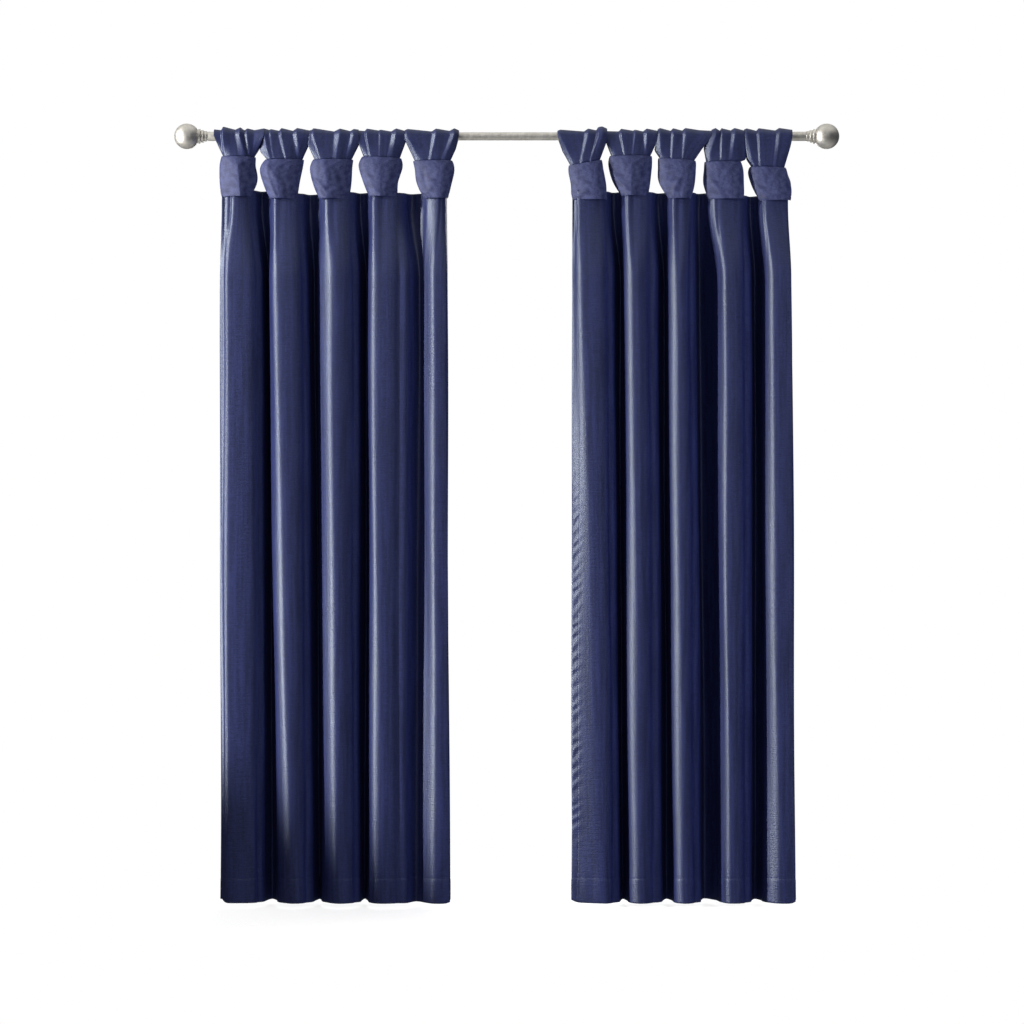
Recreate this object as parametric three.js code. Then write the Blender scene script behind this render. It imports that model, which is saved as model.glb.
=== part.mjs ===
// A pair of tab top curtains hanging on a telescopic rod with ball finials.
// Millimetres, +Z up. The rod's axis runs along X and the room is on the -Y side.
// The origin is on the rod's axis, midway between the finials.
import * as THREE from "three";

// Driving dimensions of the rod: two wide end tubes slide over one narrow middle tube.
const ROD_LENGTH = 1654;
const END_TUBE = { radius: 12.7, bore: 11.5, length: 282 };
const MIDDLE_TUBE = { radius: 11.1, bore: 10.1, inserted: 60 };
const ROUND_SIDES = 20;
const FINIAL = { ballRadius: 35, ballCentre: 56.5, plugLength: 24, plugRadius: 11.1, waist: 17.4 };
const COLLARS = [
  { from: 0.3, to: 8.4, radius: 14.2, groove: 12.6 },
  { from: 9.4, to: 17.4, radius: 17, groove: 14.6 },
  { from: 18.6, to: 25, radius: 20, groove: 17.4 },
];

// Driving dimensions of the cloth. Every panel drops 84 inches from the tab tops to its hem.
const HEM = -2113;
const HEM_HEIGHT = 68;
const TOP_EDGE = -149;
const PANEL_CLOTH = 1.6;
const HEM_CLOTH = 2.6;
const TAB_CLOTH = 1.6;
const BAND_CLOTH = 2;
const CLEARANCE = 0.4;
const CREST_CLEARANCE = 2.3;
const CREST_LEAN = 0.85;
const PANEL_CENTRES = { left: -476, right: 484 };

// Heights at which the folds of a panel change: they leave the bands at OPEN_FROM and are full at OPEN_TO.
const OPEN_FROM = -182;
const OPEN_TO = -400;
const TOP_VALLEY = 14;
const TOP_SHOULDER = 6;
// The way from a shoulder to the valley beside it: a steep side on a fold's left, a ledge on its right. The
// first fold runs straight out from the side edge.
const EDGE_SIDE = { inward: 0.5, deep: 0.5 };
const VALLEY_SIDE = { inward: 0.35, deep: 0.6 };
const VALLEY_LEDGE = { inward: 0.6, deep: 0.35 };
const EDGE_INSET = 3;
const GATHERED = 0.86;
const SAG_REACH = { flat: 1.5, end: 2.7 };

// Rows of a band, from its top to its lower edge: the share of the way down, the depth of its front from
// the rod's axis, the power of its curve, which is 1 for two flat faces and 2 for an oval, and how much of
// the way from its middle to the ridge's place the front leans.
const BAND_ROWS = [
  { span: "neck", down: 0, depth: 22, power: 2, lean: 0.4 },
  { span: "upper", down: 0.25, depth: 27, power: 1.25, lean: 1 },
  { span: "lower", down: 0.65, depth: 28, power: 1.2, lean: 1 },
  { span: "foot", down: 1, depth: 28, power: 1.2, lean: 1 },
];
const BAND_BACK = { depth: 22, power: 2.4 };
const BAND_SIDES = 20;
const SIDE_RIM = -145;
const RIM_DIPS = { full: 75, none: 105 };

// The loop inside its band's top: how far its edges and its front lie within the band, its depth at the
// edges, and how deep its pleats are there. A pleat of the height HELD_PLEAT or more touches the band.
const NECK_INSET = 5;
const NECK_GAP = 2.4;
const NECK_EDGE = 1.2;
const NECK_PLEAT = 0.4;
const HELD_PLEAT = 8;
const TUCK = { inset: 14, down: 0.12, depth: 0.45 };
const RISE_ROWS = [0.28, 0.6, 0.84];

// One row per tab, left to right, in millimetres from its panel's centre. rod holds the left and right edges
// of the loop at the rod, neck, upper, lower and foot those of the band's rows. parts gives, for the left and
// the right edge of the loop, where it parts from the next loop: its place, and the share of the way up from
// the band to the rod. ridge is the place of the band's front ridge at its top and at its foot. neckZ is the
// height of the band's top, slant how much higher its right end is, and rimZ the height of its front lower
// edge. kinks are the loop's creases from edge to edge: place at the rod and at the band as shares of the
// width, and height off the rod. Where loops meet on the rod, one edge lies high over the other's low edge.
const TABS = {
  left: [
    { rod: [-332, -193], parts: [[-320, 0.5], [-211.5, 0.3]],
      neck: [-312, -217], upper: [-317, -218], lower: [-317, -213], foot: [-314, -231],
      ridge: [-267, -258], neckZ: -57, slant: -3, rimZ: -167,
      kinks: [[0, 0, 3], [0.16, 0.04, 14], [0.33, 0.42, 0], [0.6, 0.8, 9], [0.69, 0.9, 3],
        [0.85, 0.96, 9], [1, 1, 7]] },
    { rod: [-197, -68], parts: [[-206.5, 0.38], [-72, 0.62]],
      neck: [-190, -84], upper: [-205, -88], lower: [-195, -96], foot: [-178, -101],
      ridge: [-165, -150], neckZ: -65, slant: 0, rimZ: -173,
      kinks: [[0, 0, 0], [0.06, 0.1, 6], [0.14, 0.17, 2], [0.22, 0.25, 6], [0.32, 0.46, 1], [0.43, 0.57, 7],
        [0.63, 0.8, 1], [0.74, 0.92, 7], [1, 1, 0]] },
    { rod: [-68.5, 67], parts: [[-73, 0.62], [69, 0.72]],
      neck: [-59, 52], upper: [-67, 49], lower: [-57, 47], foot: [-40, 43],
      ridge: [-21, -18], neckZ: -65, slant: 0, rimZ: -173,
      kinks: [[0, 0, 5], [0.07, 0.18, 8], [0.36, 0.46, 0], [0.55, 0.6, 8], [0.8, 0.82, 1],
        [0.91, 0.93, 8], [1, 1, 6]] },
    { rod: [64, 197], parts: [[66, 0.68], [198, 0.84]],
      neck: [76, 185], upper: [67, 188], lower: [79, 176], foot: [95, 174],
      ridge: [128, 128], neckZ: -59, slant: -5, rimZ: -167,
      kinks: [[0, 0, 0], [0.12, 0.1, 1], [0.2, 0.18, 8], [0.42, 0.4, 2], [0.48, 0.46, 4], [0.63, 0.56, 0],
        [0.77, 0.69, 8], [1, 1, 0]] },
    { rod: [194, 344], parts: [[195, 0.85], [335, 0.5]],
      neck: [217, 325], upper: [222, 330], lower: [227, 321], foot: [245, 313],
      ridge: [296, 290], neckZ: -68, slant: 0, rimZ: -172,
      kinks: [[0, 0, 5], [0.06, 0.15, 7], [0.48, 0.33, 0], [0.6, 0.43, 7], [0.77, 0.61, 2],
        [0.89, 0.77, 8], [1, 1, 3]] },
  ],
  right: [
    { rod: [-344, -207], parts: [[-330, 0.5], [-208, 0.79]],
      neck: [-313, -222], upper: [-313, -221], lower: [-307, -212], foot: [-306, -212],
      ridge: [-246, -234], neckZ: -73, slant: 15, rimZ: -176,
      kinks: [[0, 0, 4], [0.1, 0.12, 5], [0.5, 0.27, 0], [0.62, 0.41, 7], [0.74, 0.58, 3],
        [0.88, 0.74, 15], [1, 1, 8]] },
    { rod: [-210, -63], parts: [[-210, 0.75], [-83, 0.19]],
      neck: [-200, -83], upper: [-203, -83], lower: [-192, -87], foot: [-168, -92],
      ridge: [-141, -141], neckZ: -55, slant: 0, rimZ: -165,
      kinks: [[0, 0, 0], [0.2, 0.3, 0], [0.28, 0.39, 7], [0.45, 0.5, 2], [0.54, 0.57, 6], [0.7, 0.84, 0],
        [0.79, 0.93, 7], [1, 1, 0]] },
    { rod: [-67, 86], parts: [[-76, 0.38], [58, 0.55]],
      neck: [-66, 37], upper: [-66, 35], lower: [-64, 32], foot: [-39, 24],
      ridge: [10, 0], neckZ: -65, slant: -8, rimZ: -173,
      kinks: [[0, 0, 5], [0.06, 0.06, 8], [0.18, 0.24, 0], [0.26, 0.34, 7], [0.4, 0.56, 1], [0.5, 0.7, 8],
        [0.72, 0.88, 1], [0.85, 0.95, 4], [1, 1, 0]] },
    { rod: [82, 176], parts: [[60, 0.56], [177, 0.1]],
      neck: [62, 163], upper: [61, 169], lower: [59, 169], foot: [68, 169],
      ridge: [120, 138], neckZ: -71, slant: 0, rimZ: -174,
      kinks: [[0, 0, 5], [0.13, 0.1, 8], [0.22, 0.38, 0], [0.31, 0.46, 7], [0.56, 0.64, 1],
        [0.7, 0.75, 8], [1, 1, 0]] },
    { rod: [172, 304], parts: [[178.5, 0.24], [300, 0.72]],
      neck: [187, 287], upper: [183, 292], lower: [193, 301], foot: [210, 299],
      ridge: [245, 268], neckZ: -86, slant: -3, rimZ: -178,
      kinks: [[0, 0, 5], [0.06, 0.07, 8], [0.24, 0.2, 0], [0.33, 0.29, 7], [0.62, 0.6, 1],
        [0.74, 0.74, 8], [1, 1, 3]] },
  ],
};

// One row per fold, left to right, in millimetres from the panel's centre. upper and hem are its places
// where it is full and at the hem: left shoulder, crest, right shoulder and the valley to its right. fore is
// the reach of the shoulders and the crest into the room, back the valley's depth behind the rod's axis, and
// sag the dip of the top edge over the valley. The last row's valley is the panel's right side edge.
const FOLDS = {
  left: [
    { upper: [-303, -287, -226, -184], hem: [-303, -285, -220, -178], fore: [32, 43, 42], back: 48, sag: 0 },
    { upper: [-177, -155, -98, -60], hem: [-152, -117, -84, -44], fore: [22, 52, 45], back: 46, sag: 9 },
    { upper: [-43, -5, 42, 84], hem: [-31, 6, 48, 82], fore: [12, 52, 43], back: 50, sag: 5 },
    { upper: [97, 118, 170, 232], hem: [99, 124, 166, 224], fore: [29, 52, 47], back: -6, sag: 7 },
    { upper: [251, 275, 307, 313], hem: [250, 278, 314, 320], fore: [26, 53, 53], back: -38, sag: 0 },
  ],
  right: [
    { upper: [-298, -276, -220, -170], hem: [-297, -225, -200, -164], fore: [27, 49, 43], back: 46, sag: 3 },
    { upper: [-160, -138, -104, -48], hem: [-145, -118, -92, -42], fore: [29, 52, 46], back: 48, sag: 5 },
    { upper: [-39, -17, 10, 50], hem: [-22, 3, 26, 64], fore: [29, 52, 43], back: 54, sag: 6 },
    { upper: [97, 118, 158, 204], hem: [106, 130, 164, 204], fore: [20, 51, 44], back: 46, sag: 14 },
    { upper: [226, 249, 292, 298.5], hem: [228, 264, 305, 311.5], fore: [18, 51, 49], back: -36, sag: 0 },
  ],
};
const SIDE_EDGES = { left: { x: -313, y: -25 }, right: { x: -304, y: -20 } };
const STEPS_PER_POINT = 2;
const PANEL_HEIGHTS = [TOP_EDGE, OPEN_FROM, -215, -265, -330, OPEN_TO, -700, -1130, -1600, -1950];

const satin = new THREE.MeshStandardMaterial({ color: 0x33385f, roughness: 0.42, metalness: 0 });
const bandSatin = new THREE.MeshStandardMaterial({ color: 0x41456c, roughness: 0.55, metalness: 0 });
const nickel = new THREE.MeshStandardMaterial({ color: 0xbdb8ae, roughness: 0.36, metalness: 1 });

const { lerp, smoothstep, degToRad } = THREE.MathUtils;

// Closed solid of a sheet of cloth. rows holds the points of its middle surface, row by row, and
// thickness(row) is laid half to each side along the surface's normals. A wrapped sheet joins its last column
// to its first.
function sheetGeometry(rows, thickness, wrapped = false) {
  const rowCount = rows.length;
  const columnCount = rows[0].length;
  const point = (row, column) => {
    const r = Math.min(Math.max(row, 0), rowCount - 1);
    const inside = Math.min(Math.max(column, 0), columnCount - 1);
    return rows[r][wrapped ? (column + columnCount) % columnCount : inside];
  };
  const near = [];
  const far = [];
  for (let r = 0; r < rowCount; r++) {
    for (let c = 0; c < columnCount; c++) {
      const across = point(r, c + 1).clone().sub(point(r, c - 1));
      const along = point(r + 1, c).clone().sub(point(r - 1, c));
      const offset = across.cross(along).setLength(thickness(r) / 2);
      near.push(...point(r, c).clone().sub(offset).toArray());
      far.push(...point(r, c).clone().add(offset).toArray());
    }
  }
  const nearAt = (r, c) => r * columnCount + (c % columnCount);
  const farAt = (r, c) => rowCount * columnCount + nearAt(r, c);
  const index = [];
  const quad = (a, b, c, d) => index.push(a, b, c, a, c, d);
  const lastRow = rowCount - 1;
  const columnSteps = wrapped ? columnCount : columnCount - 1;
  for (let c = 0; c < columnSteps; c++) {
    for (let r = 0; r < lastRow; r++) {
      quad(farAt(r, c), farAt(r, c + 1), farAt(r + 1, c + 1), farAt(r + 1, c));
      quad(nearAt(r, c), nearAt(r + 1, c), nearAt(r + 1, c + 1), nearAt(r, c + 1));
    }
    quad(nearAt(0, c), nearAt(0, c + 1), farAt(0, c + 1), farAt(0, c));
    quad(nearAt(lastRow, c), farAt(lastRow, c), farAt(lastRow, c + 1), nearAt(lastRow, c + 1));
  }
  if (!wrapped) {
    const end = columnSteps;
    for (let r = 0; r < lastRow; r++) {
      quad(nearAt(r, 0), farAt(r, 0), farAt(r + 1, 0), nearAt(r + 1, 0));
      quad(nearAt(r, end), nearAt(r + 1, end), farAt(r + 1, end), farAt(r, end));
    }
  }
  const geometry = new THREE.BufferGeometry();
  geometry.setAttribute("position", new THREE.Float32BufferAttribute([...near, ...far], 3));
  geometry.setIndex(index);
  geometry.computeVertexNormals();
  return geometry;
}

const middleOf = ([from, to]) => (from + to) / 2;
const halfOf = ([from, to]) => (to - from) / 2;

// The sleeve that gathers a tab. In front it is a ridge with a face to each side, behind it is a flat oval,
// and its lower edge dips in front, over the fold below it.
function bandGeometry(tab) {
  const dipFull = degToRad(RIM_DIPS.full);
  const dipNone = degToRad(RIM_DIPS.none);
  const rows = BAND_ROWS.map(({ span, down, depth, power, lean }) => {
    const middle = middleOf(tab[span]);
    const leaning = lean * (lerp(...tab.ridge, down) - middle);
    const ring = [];
    for (let side = 0; side < BAND_SIDES; side++) {
      const turn = (side / BAND_SIDES) * 2 * Math.PI;
      const inFront = Math.cos(turn) > 0;
      const shaped = (value) => Math.abs(value) ** (2 / (inFront ? power : BAND_BACK.power));
      const ahead = shaped(Math.cos(turn));
      const aside = Math.sign(Math.sin(turn)) * shaped(Math.sin(turn));
      const fromFront = Math.min(turn, 2 * Math.PI - turn);
      const rim = lerp(tab.rimZ, SIDE_RIM, smoothstep(fromFront, dipFull, dipNone));
      const top = tab.neckZ + (tab.slant / 2) * Math.sin(turn);
      const x = middle + halfOf(tab[span]) * aside + (inFront ? leaning * ahead : 0);
      const y = inFront ? -depth * ahead : BAND_BACK.depth * ahead;
      ring.push(new THREE.Vector3(x, y, lerp(top, rim, down)));
    }
    return ring;
  });
  return sheetGeometry(rows, () => BAND_CLOTH, true);
}

// Depth, at a place across it, of the oval in which a loop is held by the top of its band. In front the oval
// leans towards the band's ridge.
function heldDepth(tab, x, isFront) {
  const { depth, lean } = BAND_ROWS[0];
  const middle = middleOf(tab.neck);
  const half = halfOf(tab.neck) - NECK_INSET;
  const leaning = isFront ? lean * (tab.ridge[0] - middle) : 0;
  const turn = Math.asin((x - middle) / Math.hypot(half, leaning)) - Math.atan2(leaning, half);
  return (depth - NECK_GAP) * Math.cos(turn);
}

// The pleated strip that goes up out of its band, over the rod and down into the band again. Its columns are
// the pleats' creases. In the band it is a flat oval, and on the rod each crease has its own height.
function loopGeometry(tab, rodRadius) {
  const arcSteps = [0, 1, 2, 3, 4];
  const arcStep = Math.PI / arcSteps.at(-1);
  const seat = (rodRadius + CLEARANCE + TAB_CLOTH / 2) / Math.cos(arcStep / 2);
  const edgeAt = (neck, [place, at], rod, height) => (
    height < at ? lerp(neck, place, height / at) : lerp(place, rod, (height - at) / (1 - at))
  );
  const strip = ({ height, inset, room, isFront, place }) => tab.kinks.map(([atRod, atNeck, off]) => {
    const share = lerp(atNeck, atRod, height);
    const neck = [tab.neck[0] + inset, tab.neck[1] - inset];
    const left = edgeAt(neck[0], tab.parts[0], tab.rod[0], height);
    const right = edgeAt(neck[1], tab.parts[1], tab.rod[1], height);
    const away = 1 - Math.abs(2 * atNeck - 1) ** 4;
    const pleat = NECK_PLEAT * away * Math.max(0, HELD_PLEAT - off);
    const inside = heldDepth(tab, lerp(...neck, atNeck), isFront) - pleat;
    const held = Math.max(NECK_EDGE, room * inside);
    const depth = lerp(held, seat + off, smoothstep(height, 0, 1));
    const neckZ = tab.neckZ + tab.slant * (share - 0.5);
    return new THREE.Vector3(lerp(left, right, share), ...place(depth, neckZ));
  });
  const atNeck = { height: 0, inset: NECK_INSET, room: 1, z: (neckZ) => neckZ };
  const rising = [
    { ...atNeck, inset: TUCK.inset, room: TUCK.depth, z: (neckZ) => lerp(neckZ, SIDE_RIM, TUCK.down) },
    atNeck,
    ...RISE_ROWS.map((height) => ({ ...atNeck, height, z: (neckZ) => neckZ * (1 - height) })),
  ];
  const hanging = (isFront) => rising.map(({ z, ...row }) => strip({
    ...row,
    isFront,
    place: (depth, neckZ) => [isFront ? -depth : depth, z(neckZ)],
  }));
  const over = arcSteps.map((step) => strip({
    ...atNeck,
    height: 1,
    place: (depth) => [-depth * Math.cos(step * arcStep), depth * Math.sin(step * arcStep)],
  }));
  return sheetGeometry([...hanging(true), ...over, ...hanging(false).reverse()], () => TAB_CLOTH);
}

// One hanging panel. Its plan at each height is a smooth curve from one side edge to the other, and each
// fold adds a shoulder, a crest, a shoulder and a valley with rounded sides. It is drawn in to the bands at
// the top and opens to its full folds below them.
function panelGeometry(folds, tabs, sideEdge) {
  const crestAtTop = -(BAND_ROWS.at(-1).depth - BAND_CLOTH / 2 - CREST_CLEARANCE - PANEL_CLOTH / 2);
  const planAt = (z) => {
    const open = 1 - smoothstep(z, OPEN_TO, OPEN_FROM);
    const down = Math.max(0, (OPEN_TO - z) / (OPEN_TO - HEM));
    const towards = (shoulder, valley, { inward, deep }) => new THREE.Vector2(
      lerp(shoulder.x, valley.x, inward),
      lerp(shoulder.y, valley.y, deep),
    );
    const edgeX = lerp(tabs[0].foot[0] + EDGE_INSET, sideEdge.x, open);
    const points = [new THREE.Vector2(edgeX, lerp(TOP_VALLEY, sideEdge.y, open))];
    folds.forEach((fold, i) => {
      const foot = tabs[i].foot;
      const gathered = GATHERED * halfOf(foot);
      const isLast = i === folds.length - 1;
      const gapMiddle = isLast ? foot[1] - EDGE_INSET : (foot[1] + tabs[i + 1].foot[0]) / 2;
      const middle = middleOf(foot);
      const crestTop = lerp(middle, tabs[i].ridge[1], CREST_LEAN);
      const top = [middle - gathered, crestTop, middle + gathered, gapMiddle];
      const [leftX, crestX, rightX, valleyX] = fold.upper.map((upper, at) => (
        lerp(top[at], lerp(upper, fold.hem[at], down), open)
      ));
      const [leftY, crestY, rightY] = fold.fore.map((fore, at) => (
        lerp([TOP_SHOULDER, crestAtTop, TOP_SHOULDER][at], -fore, open)
      ));
      const left = new THREE.Vector2(leftX, leftY);
      const crest = new THREE.Vector2(crestX, crestY);
      const right = new THREE.Vector2(rightX, rightY);
      const valley = new THREE.Vector2(valleyX, lerp(TOP_VALLEY, fold.back, open));
      points.push(towards(left, points.at(-1), i === 0 ? EDGE_SIDE : VALLEY_SIDE), left, crest, right);
      points.push(towards(right, valley, VALLEY_LEDGE), valley);
    });
    return points;
  };
  const pointsPerFold = 6;
  const steps = folds.length * pointsPerFold * STEPS_PER_POINT;
  const sagAt = (column) => folds.reduce((sum, fold, i) => {
    const fromValley = Math.abs(column / STEPS_PER_POINT - pointsPerFold * (i + 1));
    return sum + fold.sag * (1 - smoothstep(fromValley, SAG_REACH.flat, SAG_REACH.end));
  }, 0);
  const heights = [...PANEL_HEIGHTS, HEM + HEM_HEIGHT + HEM_CLOTH, HEM + HEM_HEIGHT, HEM];
  const rows = heights.map((z) => {
    const plan = new THREE.SplineCurve(planAt(z)).getPoints(steps);
    const nearTop = smoothstep(z, OPEN_TO, TOP_EDGE);
    return plan.map(({ x, y }, column) => new THREE.Vector3(x, y, z - nearTop * sagAt(column)));
  });
  const hemRows = 2;
  return sheetGeometry(rows, (row) => (row >= rows.length - hemRows ? HEM_CLOTH : PANEL_CLOTH));
}

// A tube of the rod, along +Y from its inner end.
function tubeGeometry({ radius, bore }, length) {
  const wall = [[bore, 0], [radius, 0], [radius, length], [bore, length], [bore, 0]];
  return new THREE.LatheGeometry(wall.map(([r, y]) => new THREE.Vector2(r, y)), ROUND_SIDES);
}

// A turned finial, along +Y from the rod's end: a plug that goes into the tube, three stepped collars and
// a ball.
function finialGeometry() {
  const rounding = 1.2;
  const profile = [[0, -FINIAL.plugLength], [FINIAL.plugRadius, -FINIAL.plugLength]];
  profile.push([FINIAL.plugRadius, COLLARS[0].from]);
  for (const { from, to, radius, groove } of COLLARS) {
    profile.push([radius - rounding, from], [radius, from + rounding], [radius, to - rounding]);
    profile.push([radius - rounding, to], [groove, to]);
  }
  const ballSteps = 9;
  const ballStart = Math.asin(FINIAL.waist / FINIAL.ballRadius);
  for (let step = 0; step <= ballSteps; step++) {
    const turn = lerp(ballStart, Math.PI, step / ballSteps);
    const radius = step === ballSteps ? 0 : FINIAL.ballRadius * Math.sin(turn);
    profile.push([radius, FINIAL.ballCentre - FINIAL.ballRadius * Math.cos(turn)]);
  }
  return new THREE.LatheGeometry(profile.map(([r, y]) => new THREE.Vector2(r, y)), ROUND_SIDES);
}

function piece(name, geometry, material) {
  const mesh = new THREE.Mesh(geometry, material);
  mesh.name = name;
  return mesh;
}

function rodAndFinials() {
  const group = new THREE.Group();
  const middleLength = ROD_LENGTH - 2 * (END_TUBE.length - MIDDLE_TUBE.inserted);
  const middle = piece("rod_middle_tube", tubeGeometry(MIDDLE_TUBE, middleLength), nickel);
  middle.rotation.z = -Math.PI / 2;
  middle.position.x = -middleLength / 2;
  group.add(middle);
  for (const [side, sign] of [["left", -1], ["right", 1]]) {
    const end = new THREE.Group();
    end.rotation.z = -sign * Math.PI / 2;
    end.position.x = sign * ROD_LENGTH / 2;
    const tube = piece(`rod_end_tube_${side}`, tubeGeometry(END_TUBE, END_TUBE.length), nickel);
    tube.position.y = -END_TUBE.length;
    end.add(tube, piece(`finial_${side}`, finialGeometry(), nickel));
    group.add(end);
  }
  return group;
}

function curtain(side) {
  const group = new THREE.Group();
  group.position.x = PANEL_CENTRES[side];
  const tabs = TABS[side];
  group.add(piece(`panel_${side}`, panelGeometry(FOLDS[side], tabs, SIDE_EDGES[side]), satin));
  tabs.forEach((tab, i) => {
    const reach = Math.max(...tab.rod.map((x) => Math.abs(x + PANEL_CENTRES[side])));
    const onEndTube = reach > ROD_LENGTH / 2 - END_TUBE.length;
    const radius = onEndTube ? END_TUBE.radius : MIDDLE_TUBE.radius;
    group.add(piece(`tab_${side}_${i + 1}`, loopGeometry(tab, radius), satin));
    group.add(piece(`band_${side}_${i + 1}`, bandGeometry(tab), bandSatin));
  });
  return group;
}

const curtains = new THREE.Group();
curtains.add(rodAndFinials(), curtain("left"), curtain("right"));

export default curtains;
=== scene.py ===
import bmesh
import bpy
import numpy as np
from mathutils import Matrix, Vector


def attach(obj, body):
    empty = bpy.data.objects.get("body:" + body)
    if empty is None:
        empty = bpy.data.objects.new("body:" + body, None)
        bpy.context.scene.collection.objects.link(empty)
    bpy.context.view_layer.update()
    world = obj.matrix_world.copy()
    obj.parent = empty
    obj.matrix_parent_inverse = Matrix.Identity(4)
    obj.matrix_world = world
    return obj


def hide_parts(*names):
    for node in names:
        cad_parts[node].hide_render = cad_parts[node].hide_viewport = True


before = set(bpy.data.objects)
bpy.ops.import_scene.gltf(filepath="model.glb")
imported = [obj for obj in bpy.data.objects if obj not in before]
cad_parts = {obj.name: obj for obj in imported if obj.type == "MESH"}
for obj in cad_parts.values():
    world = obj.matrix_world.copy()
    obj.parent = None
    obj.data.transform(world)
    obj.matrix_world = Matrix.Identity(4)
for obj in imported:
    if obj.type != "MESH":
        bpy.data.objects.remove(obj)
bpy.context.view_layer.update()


# Rod tubes: thin steel tube with a satin nickel finish. One narrow middle length slides into two wider end
# lengths, so that the rod fits windows of several widths. The ends are cut square and their rims broken.
ROD_HALF = 0.827
END_TUBE = dict(radius=0.0127, bore=0.0115, length=0.282)
MIDDLE_TUBE = dict(radius=0.0111, bore=0.0101, inserted=0.060)
RIM_ROUNDING = 0.0004
SAME_POINT = 1e-6


class Wire:
    """An output of a shader node. Arithmetic on it adds Math nodes, and node() adds any other kind of node."""

    def __init__(self, tree, socket=None):
        self.tree, self.socket = tree, socket

    def node(self, kind, settings=None, inputs=None, output=0):
        made = self.tree.nodes.new(kind)
        for name, value in (settings or {}).items():
            setattr(made, name, value)
        for name, value in (inputs or {}).items():
            if isinstance(value, Wire):
                self.tree.links.new(value.socket, made.inputs[name])
            else:
                made.inputs[name].default_value = value
        return Wire(self.tree, made.outputs[output] if len(made.outputs) else None)

    def math(self, operation, first, second=0.0):
        return self.node("ShaderNodeMath", {"operation": operation}, {0: first, 1: second})

    def __add__(self, other):
        return self.math("ADD", self, other)

    def __sub__(self, other):
        return self.math("SUBTRACT", self, other)

    def __mul__(self, other):
        return self.math("MULTIPLY", self, other)

    def __truediv__(self, other):
        return self.math("DIVIDE", self, other)

    def __rsub__(self, other):
        return self.math("SUBTRACT", other, self)

    __radd__ = __add__
    __rmul__ = __mul__

    def bell(self, place, width):
        """One at place, falling off on both sides: e to the minus square of the distance over the width."""
        away = (self - place) / width
        return self.math("POWER", np.e, -1.0 * (away * away))

    def between(self, low, high):
        """Eases from 0 at low to 1 at high."""
        return self.node("ShaderNodeMapRange", {"interpolation_type": "SMOOTHSTEP"},
                         {"Value": self, "From Min": low, "From Max": high})

    def mix(self, first, second):
        """Colour between two, by this share."""
        return self.node("ShaderNodeMix", {"data_type": "RGBA"}, {0: self, 6: first, 7: second}, output=2)

    def noise(self, scale, detail=2.0, stretch=(1, 1, 1)):
        """Noise on these coordinates, stretched by a factor along each axis."""
        across = self.node("ShaderNodeMapping", None, {"Vector": self, "Scale": stretch})
        return self.node("ShaderNodeTexNoise", None, {"Vector": across, "Scale": scale, "Detail": detail})

    def bump(self, strength, distance):
        """Normal of a surface whose height is this value."""
        return self.node("ShaderNodeBump", None, {"Height": self, "Strength": strength, "Distance": distance})


def finish(name, **constants):
    """New material, a Wire to start its tree from, and its Principled shader with the constant sockets set."""
    material = bpy.data.materials.new(name)
    material.use_nodes = True
    shader = material.node_tree.nodes["Principled BSDF"]
    for socket, value in constants.items():
        shader.inputs[socket.replace("_", " ")].default_value = value
    return material, Wire(material.node_tree), shader


def feed(shader, **wires):
    """Links wires to the shader's sockets."""
    for socket, wire in wires.items():
        wire.tree.links.new(wire.socket, shader.inputs[socket.replace("_", " ")])


def satin_nickel():
    """Nickel brushed dull: cloudy patches in colour and gloss, and fine scratches that run round the tube."""
    material, start, shader = finish("satin_nickel", Metallic=1.0)
    place = start.node("ShaderNodeTexCoord", output="Object")
    clouds = place.noise(70.0, detail=4.0)
    scratches = place.noise(900.0, detail=2.0, stretch=(1.0, 0.08, 0.08))
    tone = (0.75 * clouds + 0.25 * scratches).between(0.3, 0.7)
    feed(shader,
         Base_Color=tone.mix((0.68, 0.65, 0.58, 1), (0.90, 0.87, 0.80, 1)),
         Roughness=0.38 + 0.14 * clouds + 0.06 * scratches,
         Normal=(0.5 * clouds + 0.5 * scratches).bump(0.10, 0.0004))
    return material


def softened(corners, radius, steps=4):
    """Profile with its corners rounded: each becomes a parabola from radius before it to radius after it, or
    from half-way along a side that is short."""
    corners = np.asarray(corners, float)
    sides = np.roll(corners, 1, axis=0) - corners, np.roll(corners, -1, axis=0) - corners
    before, after = (side * np.minimum(radius / np.linalg.norm(side, axis=1, keepdims=True), 0.5)
                     for side in sides)
    t = np.linspace(0, 1, steps)[None, :, None]
    arcs = corners[:, None] + (1 - t) ** 2 * before[:, None] + t ** 2 * after[:, None]
    return arcs.reshape(-1, 2)


def turned(name, profile, sides=96):
    """Solid of revolution about the rod's axis. Each point of the profile, a place along X and a radius, is
    carried round in equal turns. The profile closes on itself, or starts and ends on the axis."""
    turn = np.linspace(0, 2 * np.pi, sides, endpoint=False)
    along, radius = np.asarray(profile, float).T[:, :, None]
    points = np.stack(np.broadcast_arrays(along, -radius * np.sin(turn), radius * np.cos(turn)), axis=-1)
    at = np.arange(points[..., 0].size).reshape(points.shape[:2])
    at = np.hstack([at, at[:, :1]])
    at = at if np.all(radius[[0, -1]] == 0) else np.vstack([at, at[:1]])
    quads = np.stack([at[:-1, :-1], at[1:, :-1], at[1:, 1:], at[:-1, 1:]], axis=-1).reshape(-1, 4)
    mesh = bpy.data.meshes.new(name)
    mesh.from_pydata(points.reshape(-1, 3).tolist(), [], quads.tolist())
    shell = bmesh.new()
    shell.from_mesh(mesh)
    bmesh.ops.remove_doubles(shell, verts=shell.verts, dist=SAME_POINT)
    bmesh.ops.recalc_face_normals(shell, faces=shell.faces)
    shell.to_mesh(mesh)
    shell.free()
    return shown(name, mesh)


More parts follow.
